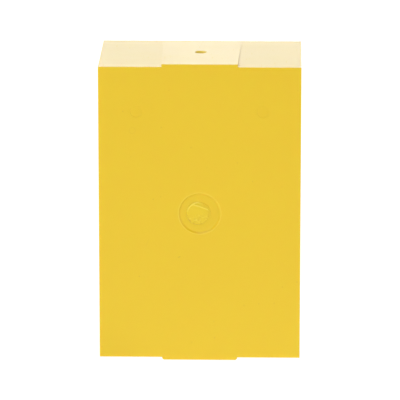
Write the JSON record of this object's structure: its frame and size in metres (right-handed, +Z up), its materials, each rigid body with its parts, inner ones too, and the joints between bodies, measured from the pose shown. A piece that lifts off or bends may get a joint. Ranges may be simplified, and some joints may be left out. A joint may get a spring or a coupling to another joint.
{
  "type": "small mailbox",
  "caption": "Small upright plastic mailbox with a drafted one-piece shell, a hanging hole in the top, a rimmed letter slot under a hinged flap and a side-hung collection door with a turn latch.",
  "frame": {"origin": "on the ground under the middle of the box's outline", "axes": "+Z up, -Y out of the closed face, +Y out of the mouth with the flap and the door, X across"},
  "size_m": [0.0802, 0.048, 0.1206],
  "materials": {
    "shell_plastic": "semi-gloss moulded, yellow",
    "chute_plastic": "matt",
    "black_plastic": "satin",
    "nylon": "matt",
    "screw_steel": "zinc plated",
    "pin_steel": "ground",
    "cam_steel": "stamped, zinc plated",
    "window_plastic": "clear polished",
    "card_paper": "matt"
  },
  "bodies": {
    "cabinet": {"shell": "shell_plastic", "front_cover": "shell_plastic", "cover_screws": "screw_steel", "letter_chute": "chute_plastic", "chute_screws": "screw_steel", "flap_pin": "pin_steel", "door_pin": "pin_steel"},
    "flap": {"letter_flap": "shell_plastic"},
    "door": {"collection_door": "shell_plastic", "card_holder": "black_plastic", "card_window": "window_plastic", "info_card": "card_paper"},
    "latch": {"latch_knob": "black_plastic", "knob_washer": "nylon", "latch_cam": "cam_steel", "cam_screw": "screw_steel"}
  },
  "joints": [
    {"name": "flap_hinge", "type": "hinge", "parent": "cabinet", "child": "flap", "pos_m": [0, 0.02, 0.1045], "axis": [1, 0, 0], "range_deg": [0, 95]},
    {"name": "door_hinge", "type": "hinge", "parent": "cabinet", "child": "door", "pos_m": [0.033, 0.0202, 0.048], "axis": [0, 0, -1], "range_deg": [0, 130]},
    {"name": "knob_turn", "type": "hinge", "parent": "door", "child": "latch", "pos_m": [-0.023, 0.0209, 0.045], "axis": [0, 1, 0], "range_deg": [0, 90]}
  ]
}
